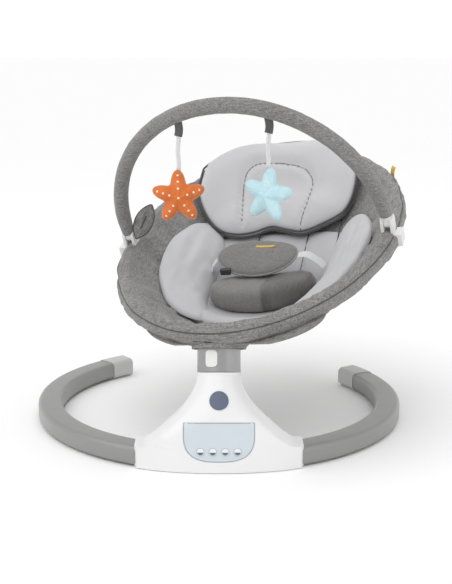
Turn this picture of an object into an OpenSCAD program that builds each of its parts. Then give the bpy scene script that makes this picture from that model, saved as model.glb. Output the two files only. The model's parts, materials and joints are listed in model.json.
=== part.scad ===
// Baby swing: a padded oval seat that turns to and fro on one leaning shaft,
// over a C-shaped floor ring whose front housing holds the drive.
// Millimetres, +Z up. The origin lies on the floor under the middle of the
// leg ring, and the housing faces -Y.

/* [Leg ring] */
// Outer radius of the leg ring
ring_outer_r = 320; // [290:5:360]
// Width of the leg tube
tube_w = 42; // [38:1:46]
// Height of the leg tube
tube_h = 31; // [27:1:34]
// Corner radius of the leg tube
tube_corner = 8; // [6:1:12]
// Wall of the leg tube
tube_wall = 2; // [1.5:0.5:3]
// Angle of ring under the housing, each side of the front
housing_angle = 26; // [24:1:30]
// End of the left leg, counted from the rear of the ring
left_end_angle = 38; // [20:2:60]
// End of the right leg, counted from the rear of the ring
right_end_angle = 56; // [20:2:60]
// Angle of ring that each end cap covers
cap_angle = 9.5; // [6:0.5:12]
// Thickness of the rubber feet
foot_h = 1; // [1:0.5:4]

/* [Housing] */
// Radius of the housing's neck
neck_r = 34; // [32:1:38]
// Distance from the ring's outer edge to the swing axis at the neck's top
neck_inset = 85; // [80:1:95]
// Height of the neck's top
neck_z = 132; // [126:1:150]
// Lean of the swing axis, back from upright
axis_tilt = 17; // [12:1:20]
// Depth of the housing at the floor
housing_depth = 96; // [90:1:110]
// Wall of the housing
housing_wall = 2.8; // [2:0.2:3.4]
// Height at which the housing's arms meet the legs
arm_h = 37; // [36:1:39]

/* [Control panel] */
// Width of the clear panel
panel_w = 110; // [100:1:116]
// Height of the clear panel along its slope
panel_h = 61; // [56:1:64]
// Height of the panel's middle
panel_z = 48; // [46:1:52]
// Radius of a panel button
button_r = 6.2; // [5:0.1:7]
// Distance between neighbouring buttons
button_pitch = 18.9; // [17:0.1:20]
// Radius of the round badge
badge_r = 14.8; // [10:0.2:16]

/* [Drive] */
// Radius of the swing shaft
shaft_r = 8; // [6:0.5:9]
// Radial running clearance of the shaft and pins
running_gap = 0.05; // [0.02:0.01:0.1]
// Gear module
gear_module = 0.8; // [0.7:0.05:0.9]
// Teeth of the motor pinion
pinion_teeth = 15; // [13:1:17]
// Teeth of the gear on the swing shaft
gear_teeth = 60; // [54:1:64]
// Thickness of the gears
gear_h = 8; // [6:1:9]
// Radius of the gear motor
motor_r = 15; // [12:1:16]
// Length of the gear motor
motor_h = 42; // [30:1:44]

/* [Collar] */
// Height of the metal collar
collar_h = 39.8; // [36:0.2:46]
// Wall of the metal collar
collar_wall = 2.4; // [1.5:0.1:3]
// Width of the release button
release_w = 19; // [14:1:22]
// Height of the release button
release_h = 26; // [20:1:28]

/* [Seat] */
// Swing angle at rest, seen from above
swing_rest = -20; // [-22:1:22]
// Half of the seat's width
seat_half_w = 251; // [230:1:270]
// Seat length ahead of its middle
seat_front = 328; // [318:1:340]
// Seat length behind its middle
seat_back = 315; // [280:1:350]
// Distance of the seat's middle behind the swing axis at the neck's top
seat_reach = 277; // [274:1:282]
// Height of the seat's middle
seat_z = 322; // [318:1:334]
// Slope of the seat's rim, head end up
seat_slope = 20.5; // [18:0.5:24]
// Radius of the rim's padding
rim_r = 17; // [14:1:18]
// Radius of the steel seat ring
frame_r = 8; // [6:0.5:9]
// Wall of the steel seat ring
frame_wall = 1.5; // [1:0.25:3]
// Depth of the seat below its rim
seat_depth = 118; // [90:2:130]
// Thickness of the seat's cover
cover_t = 4; // [3:0.5:6]

/* [Toy bar] */
// Rise of the toy bar's arch
bar_rise = 257; // [220:1:290]
// Lean of the toy bar, forward from upright
bar_lean = 33; // [10:1:40]
// Radius of the toy bar's padded sleeve
sleeve_r = 12.5; // [10:0.5:14]
// Radius of the toy bar's steel core
core_r = 5; // [4:0.5:6]
// Distance of a toy's middle below the toy bar
toy_drop = 131; // [110:1:140]
// Radius of a toy star to its tips
toy_r = 44; // [34:1:50]
// Thickness of a toy star
toy_t = 23; // [12:1:26]

/* [Hidden] */
$fn = 64;

// Clearances shared by several pieces
slip_gap = 0.3;
trim_gap = 0.5;
soft_gap = 1;
eps = 0.01;

// Ring and cap sizes that follow from the ones above
ring_r = ring_outer_r - tube_w / 2;
cap_wall = 1.2;
cap_h = tube_h + 2 * cap_wall;
cap_w = tube_w + 2 * cap_wall;
tube_z = foot_h + cap_h / 2;
front_angle = 270;
leg_inside_angle = 4;
left_stop = 90 + left_end_angle;
right_stop = 450 - right_end_angle;

// Places along Y of the swing axis and of the seat's middle
neck_back = ring_outer_r - neck_inset;
seat_y = seat_reach - neck_back;

// Housing outline
end_x = ring_r * sin(housing_angle);
floor_rear = -(ring_outer_r - housing_depth);
neck_front = -(neck_back + neck_r);
neck_rear = -(neck_back - neck_r);
flare_w = 81;
arm_round = 2.5;
arm_wall = 3.4;
flare_power = 1.7;
front_power = 1.9;
loft_points = 48;

// Places along the swing axis, counted from the neck's top
flange_h = 3;
lip_h = 4.2;
collar_s = lip_h + 1;
hub_s = collar_s + collar_h + trim_gap;
hub_flange_h = 6;
hub_flange_r = neck_r + 5;
gear_top_s = -54;
plate_s = gear_top_s - gear_h - 1;
plate_h = 3;
bearing_r = shaft_r + 4;
bearing_h = 8;
tube_bottom_s = gear_top_s + 8;
gear_distance = gear_module * (pinion_teeth + gear_teeth) / 2;

// Seat surface
bowl_band = 20;
bowl_inset = frame_r + rim_r + 11;
bowl_power = 0.9;
frame_inset = rim_r + 1;
frame_drop = 14;
liner_t = 12;

// Toy bar
pivot_v = -33;
pin_rise = 30;
spigot_h = 26;
bar_half_w = seat_half_w - frame_inset;
orange_angle = 105.8;
blue_angle = 68.5;
loop_h = 16;
loop_gap = 4;
loop_w = 14;
loop_pin_r = 1.3;
loop_pin_rise = 3.4;
ribbon_eye_r = 2.9;

// ---------- shared functions ----------

// Number between two others
function mix(low, high, share) = low + (high - low) * share;

// Number held between 0 and 1
function held(share) = max(0, min(1, share));

// Smooth step from 0 to 1
function smooth(share) = let (s = held(share)) s * s * (3 - 2 * s);

// Power of a number that keeps its sign
function signed_power(value, power) = sign(value) * pow(abs(value), power);

// Point turned about the X axis
function turn_x(p, angle) = [p.x, p.y * cos(angle) - p.z * sin(angle),
    p.y * sin(angle) + p.z * cos(angle)];

// Point turned about the Z axis
function turn_z(p, angle) = [p.x * cos(angle) - p.y * sin(angle),
    p.x * sin(angle) + p.y * cos(angle), p.z];

// Origin of the swing axis at the neck's top
neck = [0, -neck_back, neck_z];

// Point of the seat, carried by the swing from its middle to its rest angle
function swung_point(p) = neck
    + turn_x(turn_z(turn_x(p - neck, axis_tilt), swing_rest), -axis_tilt);

// Faces of a closed grid: rings of points, wrapped round, with both ends capped
function tube_faces(rings, count) = concat(
    [for (i = [0:rings - 2], j = [0:count - 1]) let (k = (j + 1) % count)
        [i * count + j, (i + 1) * count + j, (i + 1) * count + k, i * count + k]],
    [[for (j = [0:count - 1]) j]],
    [[for (j = [count - 1:-1:0]) (rings - 1) * count + j]]);

// Faces of a closed ring of rings, such as an oval tube
function loop_faces(rings, count) = [for (i = [0:rings - 1], j = [0:count - 1])
    let (k = (j + 1) % count, n = (i + 1) % rings)
        [i * count + j, n * count + j, n * count + k, i * count + k]];

// Joins shaped shells with smooth free-form walls into one mesh
module one_mesh() {
    resize([0, 0, 0])
        children();
}

// ---------- frames ----------

// Places its children on the swing axis, with +Z along it
module on_axis() {
    translate(neck)
        rotate([-axis_tilt, 0, 0])
            children();
}

// Carries children drawn on the swing axis round to the rest angle
module on_turned_axis() {
    on_axis()
        rotate([0, 0, swing_rest])
            children();
}

// Carries children drawn with the seat straight ahead round to the rest angle
module swung() {
    on_turned_axis()
        rotate([axis_tilt, 0, 0])
            translate(-neck)
                children();
}

// Places its children on the seat's rim plane: +Y to the head end, +Z out of it
module on_seat() {
    swung()
        translate([0, seat_y, seat_z])
            rotate([seat_slope, 0, 0])
                children();
}

// Height of the sloping front face where the panel sits
panel_share = panel_z / neck_z;
panel_y = front_y(panel_share);
panel_lean = atan((neck_front + ring_outer_r) * front_power
    * pow(panel_share, front_power - 1) / neck_z);

// Places its children on the panel: +X right, +Z up its slope, +Y into the housing
module on_panel() {
    translate([0, panel_y, panel_z])
        rotate([-panel_lean, 0, 0])
            children();
}

// ---------- leg ring ----------

// Section with round corners, made of true arcs
module round_section(width, height, corner) {
    square([width - 2 * corner, height], center = true);
    square([width, height - 2 * corner], center = true);
    for (x = [-1, 1], y = [-1, 1])
        translate([x * (width / 2 - corner), y * (height / 2 - corner)])
            circle(r = corner);
}

// Arc of the leg ring with the given section, from one angle to another
module ring_arc(width, height, corner, from, to) {
    translate([0, 0, tube_z])
        rotate_extrude(start = from, angle = to - from, $fn = 180)
            translate([ring_r, 0])
                round_section(width, height, corner);
}

// Hollow leg tube between two angles
module leg(from, to) {
    inner_w = tube_w - 2 * tube_wall;
    inner_h = tube_h - 2 * tube_wall;
    difference() {
        ring_arc(tube_w, tube_h, tube_corner, from, to);
        ring_arc(inner_w, inner_h, tube_corner - tube_wall, from - 1, to + 1);
    }
}

// End cap: a sleeve over the leg's end with a closed outer wall
module end_cap(from, to, wall_from, wall_to) {
    difference() {
        ring_arc(cap_w, cap_h, tube_corner + cap_wall, from, to);
        ring_arc(tube_w + slip_gap, tube_h + slip_gap, tube_corner, wall_from, wall_to);
    }
}

module left_leg() {
    color("darkgray")
        leg(left_stop + 2, front_angle - housing_angle + leg_inside_angle);
}

module right_leg() {
    color("darkgray")
        leg(front_angle + housing_angle - leg_inside_angle, right_stop - 2);
}

module left_end_cap() {
    color("gainsboro")
        end_cap(left_stop, left_stop + cap_angle, left_stop + 1.5, left_stop + cap_angle + 1);
}

module right_end_cap() {
    color("gainsboro")
        end_cap(right_stop - cap_angle, right_stop, right_stop - cap_angle - 1, right_stop - 1.5);
}

// Four rubber pads: one under each cap and one under each arm of the housing
module foot_pads() {
    pad_w = 20;
    pad_angle = 6;
    arm_pad = housing_angle - 10;
    color("dimgray")
        for (middle = [left_stop + cap_angle / 2, right_stop - cap_angle / 2,
                front_angle - arm_pad, front_angle + arm_pad])
            rotate_extrude(start = middle - pad_angle / 2, angle = pad_angle, $fn = 180)
                translate([ring_r - pad_w / 2, 0])
                    square([pad_w, foot_h]);
}

// ---------- housing ----------

// Front and rear faces of the housing at a share of the neck's height
function front_y(share) = -ring_outer_r
    + (ring_outer_r + neck_front) * pow(share, front_power);
function rear_y(share) = mix(floor_rear, neck_rear, share);

// Share of the height above the arms
function rise(z) = held((z - arm_h) / (neck_z - arm_h));

// Half width of the housing: full arms, then a flare up to the neck
function half_width(z) = z < arm_h - arm_round ? end_x
    : z < arm_h ? mix(end_x, neck_r + flare_w, pow((z - arm_h + arm_round) / arm_round, 2))
    : neck_r + flare_w * pow(1 - rise(z), flare_power);

// Point of the housing's surface, moved outward by grow
function housing_point(z, angle, grow) = let (
    share = z / neck_z,
    ring_share = pow(1 - rise(z), 2),
    corner = 2 + 20 * pow(ring_share, 2),
    reach = 1 / pow(pow(abs(cos(angle)), corner) + pow(abs(sin(angle)), corner), 1 / corner),
    x = (half_width(z) + grow) * reach * cos(angle),
    blend = pow(1 - held(pow(x / end_x, 2) * ring_share), 2),
    front = front_y(share) - grow,
    rear = rear_y(share) + grow,
    middle = mix(-ring_r, (front + rear) / 2, blend),
    half = mix((tube_w / 2 + arm_wall + grow) / cos(asin(x / ring_r)), (rear - front) / 2, blend),
    bend = (ring_r - sqrt(ring_r * ring_r - x * x)) * ring_share,
    y = middle + half * reach * sin(angle) + bend,
    lean = tan(axis_tilt) * pow(share, 4))
    [x, y, z - lean * (y + neck_back)];

// Heights of the housing's sections, close together where it turns
housing_levels = concat([foot_h, foot_h + 8, arm_h - 2.5, arm_h - 1.5, arm_h - 0.7, arm_h - 0.1],
    [for (i = [1:9]) arm_h + (neck_z - arm_h) * i / 9]);

// Solid housing form, moved outward by grow and drawn out past both ends by extra
module housing_form(grow, extra = 0) {
    levels = housing_levels;
    last = len(levels) - 1;
    rings = [for (i = [0:last], j = [0:loft_points - 1])
        housing_point(levels[i], j * 360 / loft_points, grow)
            + [0, 0, i == 0 ? -extra : i == last ? extra : 0]];
    polyhedron(points = rings, faces = tube_faces(last + 1, loft_points), convexity = 6);
}

// Outline of the D-shaped panel, made smaller by inset
module panel_outline(inset) {
    half = panel_w / 2 - inset;
    top = panel_h / 2 - inset;
    low = panel_h * 0.72 - inset;
    side = panel_h * 0.22;
    polygon(concat([[half, top], [-half, top], [-half, side]],
        [for (a = [186:6:354]) [half * signed_power(cos(a), 0.72),
            side + low * signed_power(sin(a), 0.72)]],
        [[half, side]]));
}

// Block through the housing's front wall with the panel's outline
module panel_block(inset) {
    on_panel()
        translate([0, 20, 0])
            rotate([90, 0, 0])
                linear_extrude(height = 40)
                    panel_outline(inset);
}

// Place and lean of the badge on the front face
badge_z = 106;
badge_share = badge_z / neck_z;
badge_lean = atan((neck_front + ring_outer_r) * front_power
    * pow(badge_share, front_power - 1) / neck_z);

// Round block through the housing's front wall at the badge
module badge_block(radius) {
    translate([0, front_y(badge_share), badge_z])
        rotate([90 - badge_lean, 0, 0])
            cylinder(r = radius, h = 30, center = true);
}

// Thin layer of the housing's form between two growths
module housing_layer(outer, inner) {
    difference() {
        housing_form(outer);
        housing_form(inner, 2);
    }
}

inlet_z = 18;
inlet_r = 5.5;

module front_housing() {
    color("white")
        one_mesh() difference() {
            housing_form(0);
            housing_form(-housing_wall, 2);
            panel_block(0);
            for (side = [-1, 1])
                ring_arc(tube_w + slip_gap, tube_h + slip_gap, tube_corner,
                    front_angle + side * (housing_angle + 1) - 6,
                    front_angle + side * (housing_angle + 1) + 6);
            translate([0, floor_rear, inlet_z])
                rotate([90, 0, 0])
                    cylinder(r = inlet_r + slip_gap, h = 30, center = true);
        }
}

// Screw places in the floor plate, under the chassis posts
post_x = 50;
post_front = -neck_back - 41;
post_rear = -neck_back - 11;
post_places = [[-post_x, post_front], [post_x, post_front],
    [-post_x, post_rear], [post_x, post_rear]];
screw_r = 1.5;
screw_head_r = 3.5;
plate_t = 3;

// Speaker place
speaker_place = [-82, -neck_back - 43];
speaker_r = 19;

module base_plate() {
    edge = [for (j = [0:loft_points - 1])
        let (p = housing_point(foot_h, j * 360 / loft_points, -housing_wall - slip_gap))
            [p.x, p.y]];
    slot_pitch = 7;
    color("whitesmoke")
        difference() {
            translate([0, 0, foot_h])
                linear_extrude(height = plate_t)
                    polygon(edge);
            for (side = [-1, 1])
                ring_arc(tube_w + 1, tube_h + 1, tube_corner,
                    front_angle + side * (housing_angle + 1) - 7,
                    front_angle + side * (housing_angle + 1) + 7);
            for (p = post_places) {
                translate([p.x, p.y, 0])
                    cylinder(r = screw_r + slip_gap, h = 20);
                translate([p.x, p.y, 0])
                    cylinder(r = screw_head_r + slip_gap, h = foot_h + 1.8);
            }
            for (i = [-1:1])
                translate([speaker_place.x + i * slot_pitch, speaker_place.y, foot_h])
                    cube([3, 24, 20], center = true);
        }
}

// Four screws up through the floor plate into the chassis posts
module base_screws() {
    color("silver")
        for (p = post_places)
            translate([p.x, p.y, foot_h]) {
                cylinder(r = screw_head_r, h = 1.6);
                cylinder(r = screw_r, h = 16);
            }
}

// Places of the four buttons across the panel, and of their row down its slope
button_row = -14.6;
panel_t = 2.4;

// Front face of the housing at a place across it and a height
function face_y(x, z) = let (
    share = z / neck_z,
    ring_share = pow(1 - rise(z), 2),
    corner = 2 + 20 * pow(ring_share, 2),
    across = x / half_width(z),
    blend = pow(1 - held(pow(x / end_x, 2) * ring_share), 2),
    middle = mix(-ring_r, (front_y(share) + rear_y(share)) / 2, blend),
    half = mix((tube_w / 2 + arm_wall) / cos(asin(x / ring_r)),
        (rear_y(share) - front_y(share)) / 2, blend))
    middle - half * pow(1 - pow(abs(across), corner), 1 / corner)
        + (ring_r - sqrt(ring_r * ring_r - x * x)) * ring_share;

// Depth of the front face behind the panel's plane in the row of buttons
function face_sag(x) = (face_y(x, panel_z + button_row * cos(panel_lean))
    - panel_y - button_row * sin(panel_lean)) * cos(panel_lean);

module panel_window() {
    color("lightsteelblue")
        one_mesh() difference() {
            intersection() {
                housing_layer(0, -panel_t);
                panel_block(slip_gap);
            }
            on_panel()
                for (i = [-1.5:1:1.5])
                    translate([i * button_pitch, -5, button_row])
                        rotate([-90, 0, 0])
                            cylinder(r = button_r + 0.15, h = 20);
        }
}

module badge() {
    color("slategray")
        one_mesh() intersection() {
            badge_block(badge_r);
            housing_layer(1.2, 0.1);
        }
}

// Round button with an inner flange that keeps it behind the panel
module panel_button(index) {
    x = (index - 1.5) * button_pitch;
    face = face_sag(x) - 0.8;
    flange_y = face_sag(x) + panel_t + 2.2;
    color("aliceblue")
        on_panel()
            translate([x, 0, button_row])
                rotate([-90, 0, 0]) {
                    translate([0, 0, face])
                        cylinder(r = button_r, h = flange_y + 1 - face);
                    translate([0, 0, flange_y])
                        cylinder(r = button_r + 1.4, h = 1);
                }
}

module power_button() panel_button(0);

module timer_button() panel_button(1);

module music_button() panel_button(2);

module speed_button() panel_button(3);

// Circuit board with a key switch behind each button
module control_board() {
    board_y = 11;
    key_gap = 1.4;
    color("seagreen")
        on_panel() {
            translate([-44, board_y, -22])
                cube([88, 1.6, 44]);
            for (i = [0:3]) {
                x = (i - 1.5) * button_pitch;
                key_y = face_sag(x) + panel_t + 3.2 + key_gap;
                translate([x, key_y, button_row])
                    rotate([-90, 0, 0])
                        cylinder(r = 3, h = board_y + 0.2 - key_y);
            }
            translate([-12, board_y + 1.5, 2])
                cube([24, 2.5, 12]);
        }
}

module speaker() {
    color("dimgray")
        translate([speaker_place.x, speaker_place.y, foot_h + plate_t + 0.3]) {
            cylinder(r = speaker_r, h = 4);
            cylinder(r1 = speaker_r - 2, r2 = 10, h = 10);
            cylinder(r = 10, h = 16);
        }
}

// Round power inlet in the rear wall, with its centre pin
module dc_inlet() {
    mouth_y = rear_y(inlet_z / neck_z) + 0.5;
    color("black")
        translate([0, mouth_y, inlet_z])
            rotate([90, 0, 0]) {
                difference() {
                    cylinder(r = inlet_r, h = 14);
                    translate([0, 0, -1])
                        cylinder(r = 3, h = 11);
                }
                cylinder(r = 1, h = 11);
            }
}

// ---------- drive ----------

// Height at which an upright post meets the middle of the leaning motor plate
function post_top(y) = neck_z
    + (plate_s - plate_h / 2 - (y + neck_back) * sin(axis_tilt)) / cos(axis_tilt);

// Plastic frame inside the housing: top flange, bearing tube, gear cage,
// motor plate and four posts down to the floor plate
module chassis() {
    cage_r = 36;
    column_places = [[-33, 0], [18, 30], [18, -30]];
    color("lightgray")
        difference() {
            union() {
                on_axis() {
                    cylinder(r = neck_r - 1, h = flange_h);
                    translate([0, 0, tube_bottom_s])
                        cylinder(r = bearing_r + 4, h = -tube_bottom_s);
                    translate([0, 0, tube_bottom_s])
                        cylinder(r = cage_r, h = plate_h);
                    for (p = column_places)
                        translate([p.x, p.y, plate_s - eps])
                            cylinder(r = 4, h = tube_bottom_s - plate_s + 1);
                    translate([0, 0, plate_s - plate_h])
                        cylinder(r = cage_r + 1, h = plate_h);
                    translate([-post_x - 4, -22, plate_s - plate_h])
                        cube([2 * post_x + 8, 44, plate_h]);
                }
                for (p = post_places)
                    translate([p.x, p.y, foot_h + plate_t])
                        cylinder(r = 4, h = post_top(p.y) - foot_h - plate_t);
            }
            on_axis() {
                translate([0, 0, tube_bottom_s - 1])
                    cylinder(r = bearing_r - 2, h = 80);
                translate([0, 0, tube_bottom_s - 1])
                    cylinder(r = bearing_r + running_gap, h = bearing_h + 1);
                translate([0, 0, -bearing_h - 2])
                    cylinder(r = bearing_r + running_gap, h = 40);
                translate([gear_distance, 0, plate_s - 10])
                    cylinder(r = 8, h = 20);
            }
            for (p = post_places)
                translate([p.x, p.y, 0])
                    cylinder(r = screw_r + running_gap, h = foot_h + 18);
        }
}

// Plain bush for the swing shaft, with its lower face at the given place
module bush(place) {
    color("goldenrod")
        on_axis()
            translate([0, 0, place])
                difference() {
                    cylinder(r = bearing_r, h = bearing_h);
                    translate([0, 0, -1])
                        cylinder(r = shaft_r + running_gap, h = bearing_h + 2);
                }
}

module lower_bearing() bush(tube_bottom_s);

module upper_bearing() bush(-bearing_h - 2);

module gear_motor() {
    color("silver")
        on_axis()
            translate([gear_distance, 0, plate_s - plate_h - slip_gap]) {
                translate([0, 0, -12])
                    cylinder(r = motor_r, h = 12);
                translate([0, 0, -motor_h])
                    cylinder(r = motor_r - 3, h = motor_h - 11);
            }
}

// Angle in degrees that an involute has turned through at a radius
function involute(base, r) = let (a = acos(min(1, base / r))) tan(a) * 180 / PI - a;

// Spur gear with involute teeth, short tips and a little backlash
module spur_gear(teeth, height) {
    pitch_r = gear_module * teeth / 2;
    pressure = 20;
    base_r = pitch_r * cos(pressure);
    tip_r = pitch_r + 0.75 * gear_module;
    root_r = pitch_r - 1.1 * gear_module;
    backlash = 0.12;
    half = 90 / teeth - backlash / pitch_r * 90 / PI + involute(base_r, pitch_r);
    first_r = max(root_r + 0.1, base_r);
    steps = 4;
    flank = [for (i = [0:steps]) mix(first_r, tip_r, i / steps)];
    linear_extrude(height = height)
        polygon([for (t = [0:teeth - 1])
            for (side = [-1, 1])
                for (i = [0:steps + 1])
                    let (k = side < 0 ? i : steps + 1 - i,
                        r = k == 0 ? root_r : flank[k - 1],
                        a = t * 360 / teeth + side * (half - involute(base_r, max(r, base_r))))
                        [r * cos(a), r * sin(a)]]);
}

// Pinion on the motor's output shaft, turned so a gap faces the gear's tooth
module motor_pinion() {
    color("ivory")
        on_axis()
            translate([gear_distance, 0, 0]) {
                translate([0, 0, plate_s + 1])
                    rotate([0, 0, 180 + 180 / pinion_teeth])
                        spur_gear(pinion_teeth, gear_h);
                translate([0, 0, plate_s - plate_h])
                    cylinder(r = 4, h = plate_h + 1 + eps);
            }
}

// Gear on the swing shaft, with a tooth towards the pinion
module output_gear() {
    color("wheat")
        on_axis()
            translate([0, 0, plate_s + 1])
                difference() {
                    spur_gear(gear_teeth, gear_h);
                    translate([0, 0, -1])
                        cylinder(r = shaft_r + 0.02, h = gear_h + 2);
                }
}

// Hollow steel shaft, from the gear up into the seat's socket
module swing_shaft() {
    top = collar_s + 15;
    bottom = plate_s + trim_gap;
    color("silver")
        on_axis()
            translate([0, 0, bottom])
                difference() {
                    cylinder(r = shaft_r, h = top - bottom);
                    translate([0, 0, -1])
                        cylinder(r = shaft_r - 3, h = top - bottom + 2);
                }
}

// White trim ring over the chassis flange
module lip_ring() {
    color("white")
        on_axis()
            difference() {
                cylinder(r = neck_r + 0.6, h = lip_h);
                translate([0, 0, -1])
                    cylinder(r = neck_r - 1 + slip_gap, h = flange_h + 1 + 0.1);
                cylinder(r = bearing_r + 4, h = 20);
            }
}

// ---------- collar and seat socket ----------

release_s = collar_s + 7.6 + release_h / 2;
release_corner = 6;
release_travel = 2.5;

// Block through the collar's front with the release button's outline
module release_block(gap, from_y, to_y) {
    translate([0, from_y, release_s])
        rotate([-90, 0, 0])
            linear_extrude(height = to_y - from_y)
                round_section(release_w + 2 * gap, release_h + 2 * gap, release_corner);
}

// Metal collar that turns with the seat: a tube with a floor on the shaft
module collar() {
    outer_r = neck_r - 0.1;
    floor_h = 4;
    color("silver")
        on_turned_axis()
            difference() {
                translate([0, 0, collar_s])
                    cylinder(r = outer_r, h = collar_h);
                translate([0, 0, collar_s + floor_h])
                    cylinder(r = outer_r - collar_wall, h = collar_h);
                cylinder(r = shaft_r + 0.02, h = 20);
                release_block(slip_gap, -outer_r - 5, -20);
            }
}

// White button in the collar that frees the seat when it is pressed in
module release_button() {
    outer_r = neck_r + 1.6;
    back_r = neck_r - 8;
    color("whitesmoke")
        on_turned_axis()
            intersection() {
                release_block(0, -outer_r - 5, -back_r + 8);
                difference() {
                    cylinder(r = outer_r, h = hub_s);
                    translate([0, 0, -1])
                        cylinder(r = back_r, h = hub_s + 2);
                }
            }
}

// Coil spring behind the release button, drawn as its closed outer form
module release_spring() {
    color("gray")
        on_turned_axis()
            translate([0, -neck_r + 8 + release_travel + 1, release_s])
                rotate([-90, 0, 0])
                    difference() {
                        cylinder(r = 4, h = 6);
                        translate([0, 0, -1])
                            cylinder(r = 2.6, h = 8);
                    }
}

// Plastic socket under the seat: a spigot inside the collar and a wide flange
module seat_hub() {
    spigot_r = neck_r - 0.1 - collar_wall - 0.4;
    spigot_s = collar_s + 4 + 0.4;
    color("dimgray")
        on_turned_axis()
            difference() {
                union() {
                    translate([0, 0, spigot_s])
                        cylinder(r = spigot_r, h = hub_s - spigot_s + 1);
                    translate([0, 0, hub_s])
                        cylinder(r = hub_flange_r, h = hub_flange_h);
                }
                translate([0, 0, spigot_s - 1])
                    cylinder(r = shaft_r + 0.4, h = 18);
                release_block(1, -spigot_r - 5, -16);
                for (x = [-1, 1])
                    translate([x * clamp_screw_x, clamp_screw_y, hub_s + 1])
                        cylinder(r = screw_r + 0.1, h = 20);
            }
}

// ---------- seat ring ----------

// Point on an oval of the rim plane, moved inward by inset
function oval_point(angle, inset) = [(seat_half_w - inset) * cos(angle),
    ((sin(angle) < 0 ? seat_front : seat_back) - inset) * sin(angle)];

// Oval tube round the seat
module oval_tube(radius, sides, steps) {
    points = [for (i = [0:steps - 1]) let (
        angle = i * 360 / steps,
        p = oval_point(angle, frame_inset),
        ahead = oval_point(angle + 1, frame_inset) - oval_point(angle - 1, frame_inset),
        out = [ahead.y, -ahead.x] / norm(ahead))
            for (j = [0:sides - 1]) let (turn = -(j + 0.5) * 360 / sides)
                [p.x + out.x * radius * cos(turn), p.y + out.y * radius * cos(turn),
                    radius * sin(turn) - frame_drop]];
    polyhedron(points = points, faces = loop_faces(steps, sides), convexity = 8);
}

// Oval steel tube; its two ends meet inside the clamp at the front
module seat_ring() {
    color("silver")
        one_mesh() on_seat()
            difference() {
                oval_tube(frame_r, 8, 48);
                oval_tube(frame_r - frame_wall, 8, 48);
                translate([-1, frame_inset - seat_front - 20, -40])
                    cube([2, 40, 60]);
            }
}

// Clamp block on the hub that holds the front of the seat ring
clamp_w = 56;
clamp_d = 31;
clamp_h = 20;
clamp_y = -23.6;
clamp_screw_x = 20;
clamp_screw_y = clamp_y + 10.5;
head_recess = 2;

module clamp_block(gap) {
    on_turned_axis()
        translate([-clamp_w / 2 - gap, clamp_y - clamp_d / 2 - gap, hub_s + hub_flange_h - gap])
            cube([clamp_w + 2 * gap, clamp_d + 2 * gap, clamp_h + 2 * gap]);
}

module ring_clamp() {
    color("dimgray")
        difference() {
            clamp_block(0);
            on_seat()
                oval_tube(frame_r + slip_gap, 8, 48);
            on_turned_axis()
                for (x = [-1, 1])
                    translate([x * clamp_screw_x, clamp_screw_y, hub_s]) {
                        cylinder(r = screw_r + 0.2, h = 60);
                        translate([0, 0, hub_flange_h + clamp_h - head_recess])
                            cylinder(r = screw_head_r + slip_gap, h = 20);
                    }
        }
}

// Two screws down through the clamp block into the hub
module clamp_screws() {
    color("silver")
        on_turned_axis()
            for (x = [-1, 1])
                translate([x * clamp_screw_x, clamp_screw_y,
                        hub_s + hub_flange_h + clamp_h - head_recess]) {
                    cylinder(r = screw_head_r, h = 1.6);
                    translate([0, 0, head_recess - clamp_h - 4])
                        cylinder(r = screw_r, h = clamp_h + 3);
                }
}

module rim_padding() {
    color("gray")
        difference() {
            on_seat()
                oval_tube(rim_r, 12, 48);
            on_seat()
                oval_tube(frame_r + slip_gap, 8, 48);
            clamp_block(soft_gap);
            on_turned_axis()
                translate([0, 0, hub_s - 20])
                    cylinder(r = hub_flange_r + soft_gap, h = hub_flange_h + 20 + soft_gap);
            for (side = [-1, 1])
                socket_block(side, soft_gap, extra = 20);
        }
}

// ---------- padded seat ----------

// Half sizes of the seat's bowl inside its padding
bowl_half_w = seat_half_w - bowl_inset;
function bowl_length(v) = (v < 0 ? seat_front : seat_back) - bowl_inset;

// How far out a place lies in the bowl, as a share of its rim, squared
function bowl_share(u, v) = pow(u / bowl_half_w, 2) + pow(v / bowl_length(v), 2);

// Height of the bowl's inner surface under the rim plane
function bowl_w(u, v) = -bowl_band
    - seat_depth * pow(max(0, 1 - bowl_share(u, v)), bowl_power);

// Closed shell of the hanging cover between two heights from the bowl's surface
module seat_bowl() {
    steps = 36;
    rings = 9;
    top = [for (i = [0:rings], j = [0:steps - 1]) let (
        a = -j * 360 / steps, r = i == 0 ? 0.04 : i / rings,
        u = r * bowl_half_w * cos(a), v = r * bowl_length(sin(a)) * sin(a))
            [u, v, bowl_w(u, v)]];
    low = [for (i = [rings:-1:0], j = [0:steps - 1]) let (
        p = top[i * steps + j]) [p.x, p.y, p.z - cover_t]];
    color("gray")
        difference() {
            on_seat()
                polyhedron(points = concat(top, low),
                    faces = tube_faces(2 * rings + 2, steps), convexity = 8);
            clamp_block(soft_gap);
        }
}

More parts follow.
